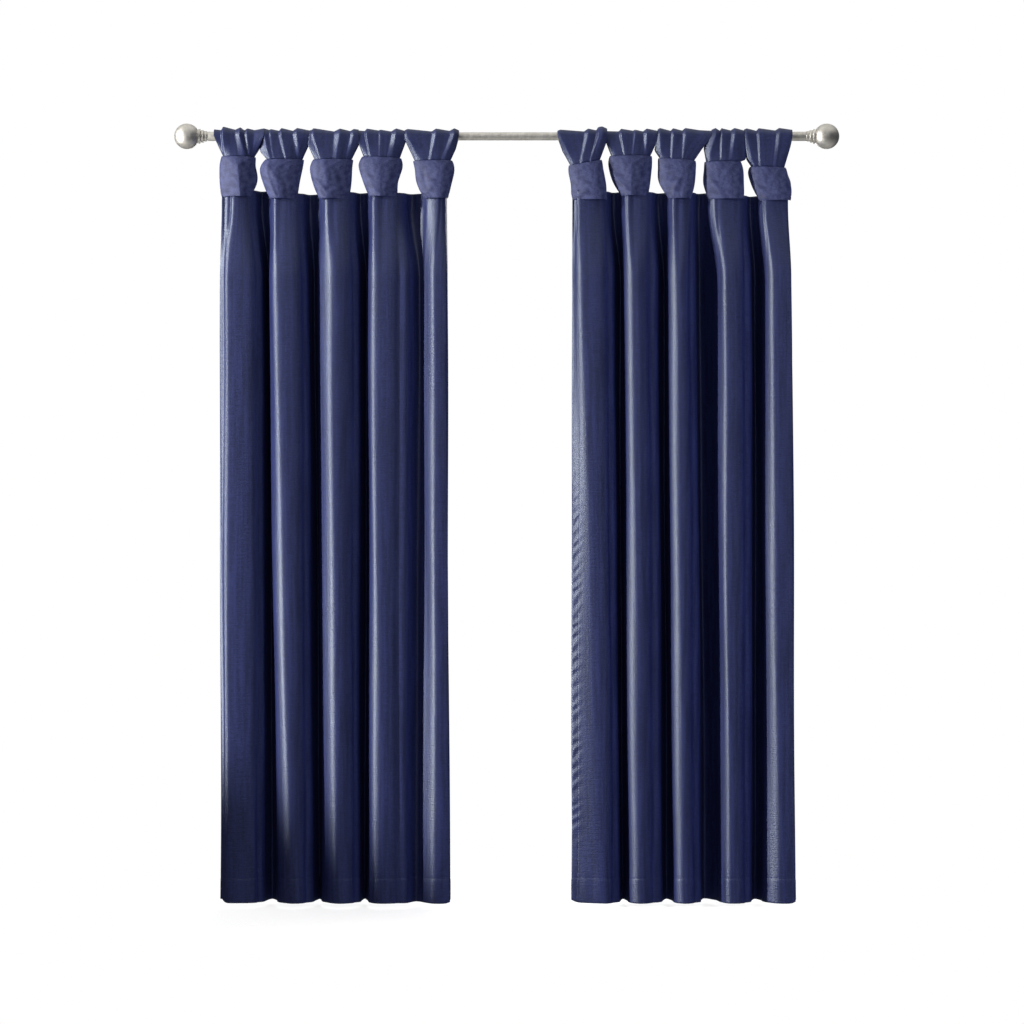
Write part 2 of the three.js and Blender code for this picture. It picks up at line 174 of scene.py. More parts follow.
def shown(name, mesh):
    """Smooth-shaded object of a mesh, in the scene and riding on the part's one body."""
    mesh.shade_smooth()
    piece = bpy.data.objects.new(name, mesh)
    bpy.context.collection.objects.link(piece)
    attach(piece, "root")
    return piece


def tube_wall(start, end, radius, bore):
    """Profile of a tube's wall from start to end, its four rims rounded."""
    return softened([(start, bore), (start, radius), (end, radius), (end, bore)], RIM_ROUNDING)


nickel = satin_nickel()
end_from = ROD_HALF - END_TUBE["length"]
middle_half = end_from + MIDDLE_TUBE["inserted"]
rod_pieces = {
    "rod_middle_tube": tube_wall(-middle_half, middle_half, MIDDLE_TUBE["radius"], MIDDLE_TUBE["bore"]),
    "rod_end_tube_left": tube_wall(-ROD_HALF, -end_from, END_TUBE["radius"], END_TUBE["bore"]),
    "rod_end_tube_right": tube_wall(end_from, ROD_HALF, END_TUBE["radius"], END_TUBE["bore"]),
}


# Finials: turned zinc with the rod's nickel finish, each a ball on three stepped collars, in one piece.
# A plug behind the collars goes into the end of the tube.
BALL = dict(radius=0.035, centre=0.0565, waist=0.0174)
PLUG = dict(radius=0.0111, length=0.024)
COLLAR_ROUNDING = 0.0011
# Each collar, from the tube to the ball: where it starts and ends along the rod, its radius, and the radius of
# the groove behind it.
COLLARS = [(0.0003, 0.0084, 0.0142, 0.0126), (0.0094, 0.0174, 0.0170, 0.0146),
           (0.0186, 0.0250, 0.0200, 0.0174)]


def finial_profile():
    """Profile out from the rod's end: plug, collars, then the ball's arc from its waist to its pole."""
    steps = [(COLLARS[0][0], PLUG["radius"])]
    for start, end, radius, groove in COLLARS:
        steps += [(start, radius), (end, radius), (end, groove)]
    plug = [(-PLUG["length"], 0.0), (-PLUG["length"], PLUG["radius"])]
    turn = np.linspace(np.arcsin(BALL["waist"] / BALL["radius"]), np.pi, 48)
    ball = np.stack([BALL["centre"] - BALL["radius"] * np.cos(turn), BALL["radius"] * np.sin(turn)], axis=-1)
    ball[-1, 1] = 0.0
    return np.vstack([plug, softened(steps, COLLAR_ROUNDING)[2:-2], ball])


rod_pieces["finial_right"] = finial_profile() + (ROD_HALF, 0.0)
rod_pieces["finial_left"] = rod_pieces["finial_right"] * (-1.0, 1.0)
for node, profile in rod_pieces.items():
    metal = turned(node + "_turned", profile)
    metal.data.materials.append(nickel)
    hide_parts(node)


# Tab loops: strips of the curtains' own satin, pleated and stitched to the panels' tops. Each goes up out of
# its band, over the rod and down behind it, widest at the rod and gathered where the band holds it.
PANEL_CENTRES = {"left": -0.476, "right": 0.484}
CLOTH = 0.0009
ROD_CLEARANCE = 0.0016
SIDE_RIM = -0.145
NECK_DEPTH, NECK_LEAN = 0.022, 0.4
NECK_INSET, NECK_GAP, NECK_EDGE = 0.005, 0.0024, 0.0012
NECK_PLEAT, HELD_PLEAT = 0.4, 0.008
TUCK_INSET, TUCK_DOWN, TUCK_DEPTH = 0.014, 0.12, 0.45
CREASE_ROUNDING, KINK_GAP = 0.008, 0.012
NAVY_DEEP = (0.0070, 0.0103, 0.057, 1)
NAVY = (0.0172, 0.0237, 0.113, 1)
# One row per tab, left to right, in metres from its panel's centre. rod holds the left and right edges of the
# loop at the rod, neck, upper, lower and foot those of the band's rows. parts gives for the loop's left and
# right edge where it parts from the next loop: its place, and the share of the way up from the band to the rod.
# ridge is the place of the band's front ridge at its top and at its foot. neck_z is the height of the band's
# top, slant how much higher its right end is, rim_z the height of its front lower edge. kinks are the loop's
# creases from edge to edge: place at the rod and at the band as shares of the width, and height off the rod.
TABS = {
    "left": [
        dict(rod=(-0.332, -0.193), parts=((-0.320, 0.50), (-0.2115, 0.30)), neck=(-0.312, -0.217),
             upper=(-0.317, -0.218), lower=(-0.317, -0.213), foot=(-0.314, -0.231), ridge=(-0.267, -0.258),
             neck_z=-0.057, slant=-0.003, rim_z=-0.167,
             kinks=[(0, 0, 0.004), (0.145, 0.012, 0.002), (0.177, 0.036, 0.012), (0.42, 0.52, 0.003),
                    (0.52, 0.74, 0.01), (0.6, 0.82, 0.001), (0.66, 0.88, 0.007), (0.8, 0.94, 0.002),
                    (1, 1, 0.007)]),
        dict(rod=(-0.197, -0.068), parts=((-0.2065, 0.38), (-0.072, 0.62)), neck=(-0.190, -0.084),
             upper=(-0.205, -0.088), lower=(-0.195, -0.096), foot=(-0.178, -0.101), ridge=(-0.165, -0.150),
             neck_z=-0.065, slant=0.0, rim_z=-0.173,
             kinks=[(0, 0, 0.002), (0.02, 0.086, 0.007), (0.135, 0.16, 0.0025), (0.167, 0.2, 0.005),
                    (0.345, 0.505, 0), (0.39, 0.555, 0.008), (0.64, 0.87, 0), (0.73, 0.955, 0.008),
                    (1, 1, 0.001)]),
        dict(rod=(-0.0685, 0.067), parts=((-0.073, 0.62), (0.069, 0.72)), neck=(-0.059, 0.052),
             upper=(-0.067, 0.049), lower=(-0.057, 0.047), foot=(-0.040, 0.043), ridge=(-0.021, -0.018),
             neck_z=-0.065, slant=0.0, rim_z=-0.173,
             kinks=[(0, 0, 0.003), (0.05, 0.13, 0.0045), (0.078, 0.17, 0.009), (0.5, 0.48, 0),
                    (0.62, 0.585, 0.008), (0.83, 0.83, 0.001), (0.9, 0.93, 0.007), (1, 1, 0.005)]),
        dict(rod=(0.064, 0.197), parts=((0.066, 0.68), (0.198, 0.84)), neck=(0.076, 0.185),
             upper=(0.067, 0.188), lower=(0.079, 0.176), foot=(0.095, 0.174), ridge=(0.128, 0.128),
             neck_z=-0.059, slant=-0.005, rim_z=-0.167,
             kinks=[(0, 0, 0.003), (0.155, 0.15, 0.001), (0.19, 0.19, 0.008), (0.44, 0.42, 0.0025),
                    (0.475, 0.455, 0.005), (0.7, 0.65, 0), (0.8, 0.775, 0.0085), (1, 1, 0.001)]),
        dict(rod=(0.194, 0.344), parts=((0.195, 0.85), (0.335, 0.50)), neck=(0.217, 0.325),
             upper=(0.222, 0.330), lower=(0.227, 0.321), foot=(0.245, 0.313), ridge=(0.296, 0.290),
             neck_z=-0.068, slant=0.0, rim_z=-0.172,
             kinks=[(0, 0, 0.003), (0.05, 0.167, 0.007), (0.5, 0.37, 0), (0.576, 0.45, 0.008),
                    (0.83, 0.73, 0.0015), (0.915, 0.83, 0.009), (1, 1, 0.003)]),
    ],
    "right": [
        dict(rod=(-0.344, -0.207), parts=((-0.330, 0.50), (-0.208, 0.79)), neck=(-0.313, -0.222),
             upper=(-0.313, -0.221), lower=(-0.307, -0.212), foot=(-0.306, -0.212), ridge=(-0.246, -0.234),
             neck_z=-0.073, slant=0.015, rim_z=-0.176,
             kinks=[(0, 0, 0.002), (0.06, 0.12, 0.005), (0.54, 0.3, 0), (0.617, 0.376, 0.008),
                    (0.785, 0.64, 0.003), (0.82, 0.68, 0.012), (0.9, 0.8, 0.014), (1, 1, 0.008)]),
        dict(rod=(-0.210, -0.063), parts=((-0.210, 0.75), (-0.083, 0.19)), neck=(-0.200, -0.083),
             upper=(-0.203, -0.083), lower=(-0.192, -0.087), foot=(-0.168, -0.092), ridge=(-0.141, -0.141),
             neck_z=-0.055, slant=0.0, rim_z=-0.165,
             kinks=[(0, 0, 0.001), (0.245, 0.31, 0), (0.284, 0.354, 0.0075), (0.51, 0.5, 0.002),
                    (0.547, 0.54, 0.005), (0.7, 0.85, 0), (0.763, 0.908, 0.008), (1, 1, 0.001)]),
        dict(rod=(-0.067, 0.086), parts=((-0.076, 0.38), (0.058, 0.55)), neck=(-0.066, 0.037),
             upper=(-0.066, 0.035), lower=(-0.064, 0.032), foot=(-0.039, 0.024), ridge=(0.010, 0.000),
             neck_z=-0.065, slant=-0.008, rim_z=-0.173,
             kinks=[(0, 0, 0.004), (0.04, 0.05, 0.008), (0.235, 0.3, 0), (0.277, 0.35, 0.0075),
                    (0.445, 0.63, 0.0005), (0.494, 0.684, 0.008), (0.75, 0.85, 0.002), (1, 1, 0)]),
        dict(rod=(0.082, 0.176), parts=((0.060, 0.56), (0.177, 0.10)), neck=(0.062, 0.163),
             upper=(0.061, 0.169), lower=(0.059, 0.169), foot=(0.068, 0.169), ridge=(0.120, 0.138),
             neck_z=-0.071, slant=0.0, rim_z=-0.174,
             kinks=[(0, 0, 0.003), (0.115, 0.04, 0.008), (0.24, 0.4, 0), (0.29, 0.455, 0.0075),
                    (0.56, 0.66, 0.001), (0.67, 0.75, 0.008), (1, 1, 0)]),
        dict(rod=(0.172, 0.304), parts=((0.1785, 0.24), (0.300, 0.72)), neck=(0.187, 0.287),
             upper=(0.183, 0.292), lower=(0.193, 0.301), foot=(0.210, 0.299), ridge=(0.245, 0.268),
             neck_z=-0.086, slant=-0.003, rim_z=-0.178,
             kinks=[(0, 0, 0.004), (0.05, 0.06, 0.007), (0.255, 0.215, 0), (0.3, 0.26, 0.0075),
                    (0.65, 0.64, 0.001), (0.728, 0.73, 0.008), (1, 1, 0.003)]),
    ],
}


def blend(first, second, share):
    """Straight from first to second by a share."""
    return first + (second - first) * share


def eased(value, start, end):
    """Eases from 0 at start to 1 at end: three times the square of the way gone less twice its cube."""
    share = np.clip((value - start) / (end - start), 0, 1)
    return share * share * (3 - 2 * share)


def creased(places, values, share):
    """Line through the creases' values by share of the width, with each corner rounded: it starts on the first
    slope, and at every crease the slope changes along a hyperbola."""
    slopes = np.diff(values, axis=0) / np.diff(places, axis=0)
    away = share - places[1:-1]
    bends = np.diff(slopes, axis=0) * (away + np.hypot(away, CREASE_ROUNDING)) / 2
    return values[0] + slopes[0] * (share - places[0]) + np.sum(bends, axis=0)


def edge_line(neck, place, parts_at, rod, height):
    """Edge of a loop by its height: straight from the neck to where it parts from the next loop, then straight
    to the rod."""
    return np.where(height < parts_at, blend(neck, place, height / parts_at),
                    blend(place, rod, (height - parts_at) / (1 - parts_at)))


def tab_loop(tab, rod_radius, columns=150, rising=13, over=14):
    """Points of a loop, along the strip by across it. It starts inside the band, rises to the rod, turns half
    round it and goes down behind. Its depth off the rod's axis eases from the oval of the band's top, which
    leans to the band's ridge in front, to the rod's seat. The pleats stand on the seat and are pressed in by
    the band."""
    share = np.linspace(0, 1, columns + 1)[None, :]
    up = np.concatenate([[0.0], np.linspace(0, 1, rising)])
    turn = np.linspace(0, np.pi, over)[1:-1]
    height = np.concatenate([up, np.ones_like(turn), up[::-1]])[:, None]
    angle = np.concatenate([np.zeros_like(up), turn, np.full_like(up, np.pi)])[:, None]
    tucked = (np.arange(len(height)) % (len(height) - 1) == 0)[:, None]
    inset = np.where(tucked, TUCK_INSET, NECK_INSET)
    necks = tab["neck"][0] + inset, tab["neck"][1] - inset
    left, right = (edge_line(neck, *tab["parts"][k], tab["rod"][k], height) for k, neck in enumerate(necks))
    at_rod, at_neck, rise = np.array(tab["kinks"]).T[:, :, None, None]
    straight = blend(blend(*necks, at_neck), blend(*tab["rod"], at_rod), height)
    order = np.arange(len(rise))[:, None, None]
    places = np.clip((straight - left) / (right - left), KINK_GAP * order, 1 - KINK_GAP * order[::-1])
    pleats = creased(places, rise, share)
    middle, half = np.mean(tab["neck"]), np.ptp(tab["neck"]) / 2 - NECK_INSET
    leaning = NECK_LEAN * (tab["ridge"][0] - middle) * (angle < np.pi / 2)
    aside = np.clip((blend(*necks, share) - middle) / np.hypot(half, leaning), -1, 1)
    oval = (NECK_DEPTH - NECK_GAP) * np.cos(np.arcsin(aside) - np.arctan2(leaning, half))
    pressed = NECK_PLEAT * (1 - (2 * share - 1) ** 4) * np.maximum(0, HELD_PLEAT - pleats)
    held = np.maximum(NECK_EDGE, np.where(tucked, TUCK_DEPTH, 1) * (oval - pressed))
    depth = blend(held, rod_radius + ROD_CLEARANCE + CLOTH / 2 + pleats, eased(height, 0, 1))
    neck_z = tab["neck_z"] + tab["slant"] * (share - 0.5)
    z = np.where(tucked, blend(neck_z, SIDE_RIM, TUCK_DOWN), neck_z * (1 - height))
    return np.stack([blend(left, right, share), -depth * np.cos(angle), z + depth * np.sin(angle)], axis=-1)


def arc_length(points, axis):
    """Distance gone along the points of a grid, down its rows (axis 0) or across its columns (axis 1)."""
    steps = np.linalg.norm(np.diff(points, axis=axis), axis=-1)
    start = np.zeros_like(points[..., 0].take([0], axis=axis))
    return np.concatenate([start, np.cumsum(steps, axis=axis)], axis=axis)


def cloth_piece(name, points, wrapped=False, **marks):
    """Sheet of cloth from a grid of points, rows by columns, thickened half to each side. Its cloth attribute
    holds the metres gone across and along the sheet, and every other mark a value per point for its
    material."""
    at = np.arange(points[..., 0].size).reshape(points.shape[:2])
    at = np.hstack([at, at[:, :1]]) if wrapped else at
    quads = np.stack([at[:-1, :-1], at[1:, :-1], at[1:, 1:], at[:-1, 1:]], axis=-1).reshape(-1, 4)
    mesh = bpy.data.meshes.new(name)
    mesh.from_pydata(points.reshape(-1, 3).tolist(), [], quads.tolist())
    across = np.broadcast_to(arc_length(points, 1).mean(axis=0), points.shape[:2])
    along = np.broadcast_to(arc_length(points, 0).mean(axis=1)[:, None], points.shape[:2])
    place = np.stack([across, along, np.zeros_like(across)], axis=-1)
    mesh.attributes.new("cloth", "FLOAT_VECTOR", "POINT").data.foreach_set("vector", place.ravel())
    for mark, values in marks.items():
        mesh.attributes.new(mark, "FLOAT", "POINT").data.foreach_set("value", values.ravel())
    piece = shown(name, mesh)
    wall = piece.modifiers.new("cloth thickness", "SOLIDIFY")
    wall.thickness, wall.offset = CLOTH, 0.0
    return piece


def satin(name, stitching=None):
    """Faux silk: slubs along the weft, a finer grain, a warp thinner still, and long faint streaks down the
    cloth. stitching adds the height of seams and puckers to the weave's."""
    material, start, shader = finish(name, Specular_IOR_Level=0.85, Specular_Tint=(0.83, 0.92, 1.0, 1))
    place = start.node("ShaderNodeAttribute", {"attribute_name": "cloth"}, output="Vector")
    slubs = place.noise(1.0, detail=2.0, stretch=(40, 290, 1))
    grain = place.noise(1.0, detail=1.0, stretch=(170, 330, 1))
    warp = place.noise(1.0, detail=1.0, stretch=(1100, 30, 1))
    streaks = place.noise(1.0, detail=2.0, stretch=(110, 5, 1))
    tone = (0.3 * slubs + 0.3 * grain + 0.4 * streaks).between(0.38, 0.62)
    height = 0.9 * slubs + 0.9 * grain + 0.1 * warp + 1.0 * streaks
    if stitching:
        height = height + stitching(start, place)
    feed(shader,
         Base_Color=tone.mix(NAVY_DEEP, NAVY),
         Roughness=0.41 + 0.05 * slubs + 0.05 * grain,
         Normal=height.bump(0.65, 0.0008))
    return material


tab_satin = satin("tab_satin")
for side, rows in TABS.items():
    for number, tab in enumerate(rows, 1):
        reach = max(abs(x + PANEL_CENTRES[side]) for x in tab["rod"])
        on_end = reach > end_from
        points = tab_loop(tab, (END_TUBE if on_end else MIDDLE_TUBE)["radius"]) + (PANEL_CENTRES[side], 0, 0)
        loop = cloth_piece(f"tab_loop_{side}_{number}", points)
        loop.data.materials.append(tab_satin)
        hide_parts(f"tab_{side}_{number}")


# Wrap bands: the same satin with its dull side out, sewn into flat sleeves and drawn tight round the tabs'
# feet. Each covers the seam where its tab joins the panel, and its front edge dips over the fold below.
BACK_DEPTH, BACK_POWER = 0.022, 2.4
# Rows from a band's top to its lower edge: the edges' name in TABS, the share of the way down, the depth of the
# front, and the share of its lean towards the ridge.
BAND_ROWS = [("neck", 0.0, 0.022, 0.4), ("upper", 0.25, 0.027, 1.0), ("lower", 0.65, 0.028, 1.0),
             ("foot", 1.0, 0.028, 1.0)]
# Power of the front's curve, band by band, from 1 for two flat faces that meet in a ridge to 2 for an oval. At
# its top every band is an oval, down to the share OVAL_DOWN.
BAND_POWERS = {"left": (1.25, 1.55, 1.60, 1.50, 1.65), "right": (1.70, 1.35, 1.65, 1.75, 1.75)}
OVAL, OVAL_DOWN = 2.0, 0.25
DIP_FULL, DIP_NONE = np.radians(75), np.radians(105)
CREASES_FROM, CREASES_FULL = 0.02, 0.2
# The turned hem's groove, and the rolls at the lower and the top edge: how deep each is pressed and how wide.
BAND_HEM, HEM_GROOVE = 0.011, (0.0008, 0.0022)
RIM_ROLL, TOP_ROLL = (0.0010, 0.003), (0.0008, 0.003)
BAND_SIZE = (0.055, 0.105)
CRUSHED_DARK, CRUSHED_PALE = (0.014, 0.0190, 0.085, 1), (0.052, 0.0640, 0.175, 1)
# Soft ridges (height above 0) and troughs (below 0) of each band's front, listed one by one: from, across and
# down, to, across and down, height and width. Across goes from -1 to 1 and down from 0 to 1.
BAND_CREASES = {
    "left": [
        [(0.40, 0.15, 0.85, 0.30, -0.0018, 0.007), (0.30, 0.60, 0.90, 0.78, -0.0018, 0.008),
         (-0.85, 0.97, -0.35, 0.88, -0.0015, 0.004), (-0.90, 0.25, -0.30, 0.20, 0.0010, 0.010)],
        [(-0.75, 0.05, -0.30, 0.45, 0.0020, 0.008), (-0.70, 0.20, -0.50, 0.95, 0.0020, 0.007),
         (0.10, 0.20, 0.30, 0.80, -0.0010, 0.010)],
        [(-0.85, 0.50, -0.50, 0.75, 0.0022, 0.006), (-0.60, 0.82, 0.00, 0.72, -0.0018, 0.006),
         (-0.35, 0.10, -0.20, 0.50, 0.0015, 0.009), (0.30, 0.30, 0.60, 0.70, -0.0012, 0.009)],
        [(-0.85, 0.10, -0.45, 0.85, 0.0016, 0.008), (0.15, 0.10, 0.05, 0.90, -0.0012, 0.009),
         (0.45, 0.55, 0.85, 0.35, 0.0012, 0.008)],
        [(-0.85, 0.80, -0.40, 0.96, 0.0022, 0.006), (-0.30, 0.62, 0.50, 0.25, 0.0014, 0.007),
         (-0.60, 0.30, -0.40, 0.70, -0.0015, 0.007), (-0.50, 0.85, 0.10, 0.60, 0.0014, 0.006)],
    ],
    "right": [
        [(-0.70, 0.95, -0.10, 0.75, 0.0018, 0.006), (-0.80, 0.20, -0.20, 0.15, 0.0012, 0.008),
         (0.75, 0.50, 0.95, 0.85, -0.0018, 0.007), (-0.50, 0.45, 0.30, 0.60, 0.0010, 0.009)],
        [(-0.85, 0.45, -0.45, 0.80, 0.0020, 0.006), (-0.60, 0.15, -0.30, 0.55, -0.0010, 0.010),
         (0.40, 0.30, 0.50, 0.90, 0.0010, 0.010)],
        [(-0.55, 0.55, 0.05, 0.65, 0.0022, 0.006), (-0.40, 0.92, 0.20, 0.50, 0.0022, 0.006),
         (-0.70, 0.25, 0.10, 0.35, 0.0016, 0.006), (0.10, 0.90, 0.45, 0.50, -0.0016, 0.007)],
        [(-0.80, 0.30, -0.20, 0.85, 0.0014, 0.008), (-0.30, 0.15, 0.20, 0.30, 0.0012, 0.008),
         (0.30, 0.85, 0.85, 0.70, 0.0012, 0.007)],
        [(-0.60, 0.35, 0.10, 0.25, 0.0014, 0.008), (-0.50, 0.90, 0.70, 0.75, 0.0014, 0.007),
         (-0.70, 0.60, -0.40, 0.90, 0.0014, 0.006)],
    ],
}


def through(points, steps):
    """Smooth curve through each row's points (a Catmull-Rom spline), with equal steps from point to point."""
    count = points.shape[1]
    padded = np.concatenate([points[:, :1], points, points[:, -1:]], axis=1)
    place = np.linspace(0, count - 1, (count - 1) * steps + 1)
    start = np.minimum(place.astype(int), count - 2)
    t = (place - start)[None, :, None]
    before, here, ahead, beyond = (padded[:, start + k] for k in range(4))
    return here + 0.5 * t * (ahead - before + t * (2 * before - 5 * here + 4 * ahead - beyond
                                                   + t * (3 * (here - ahead) + beyond - before)))


def soft_ridges(across, down, creases):
    """Sum of bell-shaped ridges on a band's front, each along a straight stretch: e to the minus square of the
    distance from the stretch over the width, times its height."""
    start, end, (rise, width) = (np.array(creases).T[k:k + 2, :, None, None] for k in (0, 2, 4))
    size = np.array(BAND_SIZE)[:, None, None, None]
    run = (end - start) * size
    spot = (np.stack([across, np.broadcast_to(down, across.shape)])[:, None] - start) * size
    gone = np.clip(np.sum(spot * run, axis=0) / np.sum(run * run, axis=0), 0, 1)
    away = np.linalg.norm(spot - gone * run, axis=0)
    return np.sum(rise * np.exp(-(away / width) ** 2), axis=0)


def wrap_band(tab, creases, power, sides=150, steps=12):
    """Points of a band, top edge to lower edge by round it from the front. In front its section is a ridge with
    a face to each side, behind it is a flat oval, and its rows run smoothly into one another. Its creases stand
    out along the section's normal, and a hem is pressed in near the lower edge."""
    turn = np.linspace(0, 2 * np.pi, sides, endpoint=False)[None, :]
    sections = np.array([(*tab[span], down, depth, lean * (blend(*tab["ridge"], down) - np.mean(tab[span])))
                         for span, down, depth, lean in BAND_ROWS])
    left, right, down, depth, leaning = through(sections[None], steps)[0].T[:, :, None]
    power = blend(OVAL, power, eased(down, 0, OVAL_DOWN))
    in_front = np.cos(turn) > 0
    aside, ahead = (np.sign(wave) * np.abs(wave) ** (2 / np.where(in_front, power, BACK_POWER))
                    for wave in (np.sin(turn), np.cos(turn)))
    middle, half = (left + right) / 2, (right - left) / 2
    x = middle + half * aside + np.where(in_front, leaning * ahead, 0)
    y = -np.where(in_front, depth, BACK_DEPTH) * ahead
    rim = blend(tab["rim_z"], SIDE_RIM, eased(np.minimum(turn, 2 * np.pi - turn), DIP_FULL, DIP_NONE))
    top = tab["neck_z"] + tab["slant"] / 2 * np.sin(turn)
    above_rim, below_top = (1 - down) * (top - rim), down * (top - rim)
    out = soft_ridges((x - middle) / half, down, creases) * eased(ahead, CREASES_FROM, CREASES_FULL)
    pressed = (above_rim - BAND_HEM, HEM_GROOVE), (above_rim, RIM_ROLL), (below_top, TOP_ROLL)
    for away, (press, width) in pressed:
        out = out - press * np.exp(-(away / width) ** 2)
    along_x, along_y = (np.roll(side, -1, axis=1) - np.roll(side, 1, axis=1) for side in (x, y))
    out = out / np.hypot(along_x, along_y)
    return np.stack([x + along_y * out, y - along_x * out, blend(top, rim, down)], axis=-1)


def dull_satin():
    """The satin's reverse: no gloss, a soft nap that lights up at the edges, blotched where it was crushed."""
    material, start, shader = finish("band_satin", Specular_IOR_Level=0.55, Sheen_Weight=0.22,
                                     Sheen_Roughness=0.35, Sheen_Tint=(0.62, 0.66, 0.90, 1))
    place = start.node("ShaderNodeAttribute", {"attribute_name": "cloth"}, output="Vector")
    blotches = place.noise(75.0, detail=5.0)
    weave = place.noise(1.0, detail=2.0, stretch=(420, 300, 1))
    tone = (0.65 * blotches + 0.35 * weave).between(0.36, 0.64)
    feed(shader,
         Base_Color=tone.mix(CRUSHED_DARK, CRUSHED_PALE),
         Roughness=0.58 + 0.12 * blotches,
         Normal=(0.75 * blotches + 0.35 * weave).bump(0.5, 0.0012))
    return material


band_satin = dull_satin()
for side, rows in TABS.items():
    for number, (tab, creases, power) in enumerate(zip(rows, BAND_CREASES[side], BAND_POWERS[side]), 1):
        points = wrap_band(tab, creases, power) + (PANEL_CENTRES[side], 0, 0)
        band = cloth_piece(f"wrap_band_{side}_{number}", points, wrapped=True)
        band.data.materials.append(band_satin)
        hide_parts(f"band_{side}_{number}")


# Panels: one width of satin each, hemmed at the sides and the foot, gathered into five deep folds by the bands.
# The folds leave the bands, open over the first quarter of a metre and then hang almost straight.
HEM, HEM_HEIGHT = -2.113, 0.068
TOP_EDGE, HEADING = -0.149, 0.022
OPEN_FROM, OPEN_TO, LOOSE_FROM = -0.182, -0.400, -0.7
# Under its band a fold's shoulders are at the shares TOP_PLACES of the foot's half width, the left one pulled
# towards the crest. TOP_DEPTHS are the depths of left shoulder, crest and right shoulder there.
TOP_PLACES, TOP_DEPTHS, TOP_VALLEY = (-0.95, 0.70), (-0.003, -0.016, -0.009), 0.034
SHOULDER_PULL = 0.3
# The way from a shoulder to the valley beside it: a steep side on each fold's left, a ledge on its right. The
# first fold runs straight out from the side edge.
VALLEY_INWARD, VALLEY_DEEP = np.array([0.5] + 4 * [0.35]), np.array([0.5] + 4 * [0.6])
LEDGE_INWARD, LEDGE_DEEP = 0.6, 0.35
EDGE_INSET = 0.003
SAG_FLAT, SAG_END = 1.5, 2.7
POINTS_PER_FOLD = 6
# Rows of points: to where the folds are full, on to the hem's zone, and down to the hem.
FULL_ROWS, HEM_ZONE = -0.43, 0.1
ROW_COUNTS = (56, 58, 26)
# Slow waver of the folds: how far aside, and its radians in a metre down the panel and from point to point of
# the plan.
WAVERS = [(0.0016, 2.7, 0.9), (0.0009, 6.1, 2.3)]
WAVER_PHASES = {"left": 0.0, "right": 2.0}
MARK_START, MARK_END = (-0.02, 0.08), (0.55, 1.0)
# Gathers that the heading's seam pulls into the valleys: depth, length, reach down and reach across. Here and
# in the hem's ripple, UNEVEN is how far the waves are shifted, and the radians of that shift in a metre.
GATHER_DEPTH, GATHER_LENGTH, GATHER_DOWN, GATHER_ACROSS = 0.0011, 0.019, 0.020, 1.3
GATHER_UNEVEN, RIPPLE_UNEVEN = (3, 40), (9, 7)
# Turned hem: the step of its edge, the groove of its stitches, the ripple below, and the lift of its corners.
HEM_STEP, HEM_STEP_WIDTH = 0.0005, 0.003
STITCH_DEPTH, STITCH_WIDTH = 0.0004, 0.004
RIPPLE_DEPTH, RIPPLE_LENGTH, RIPPLE_PLACE, RIPPLE_WIDTH = 0.0006, 0.061, 0.05, 0.04
CORNER_LIFT, CORNER_REACH = 0.010, 0.016
# Stitching in the cloth's finish, and the puckers of the right panel's left edge.
SIDE_HEM, STITCH_LENGTH = 0.025, 0.0032
GROOVE_WIDTH, SIDE_GROOVE_WIDTH = 0.0020, 0.0016
PUCKER_LENGTH, PUCKER_LEAN, PUCKER_PLACE, PUCKER_WIDTH = 0.032, 0.7, 0.016, 0.014
PUCKER_TOP, PUCKER_FOOT = (-0.85, -1.05), (-1.99, -1.90)
PUCKER_HEIGHT, GROOVE_HEIGHT, PUCKER_SHIFT = 2.6, 0.6, 9.0
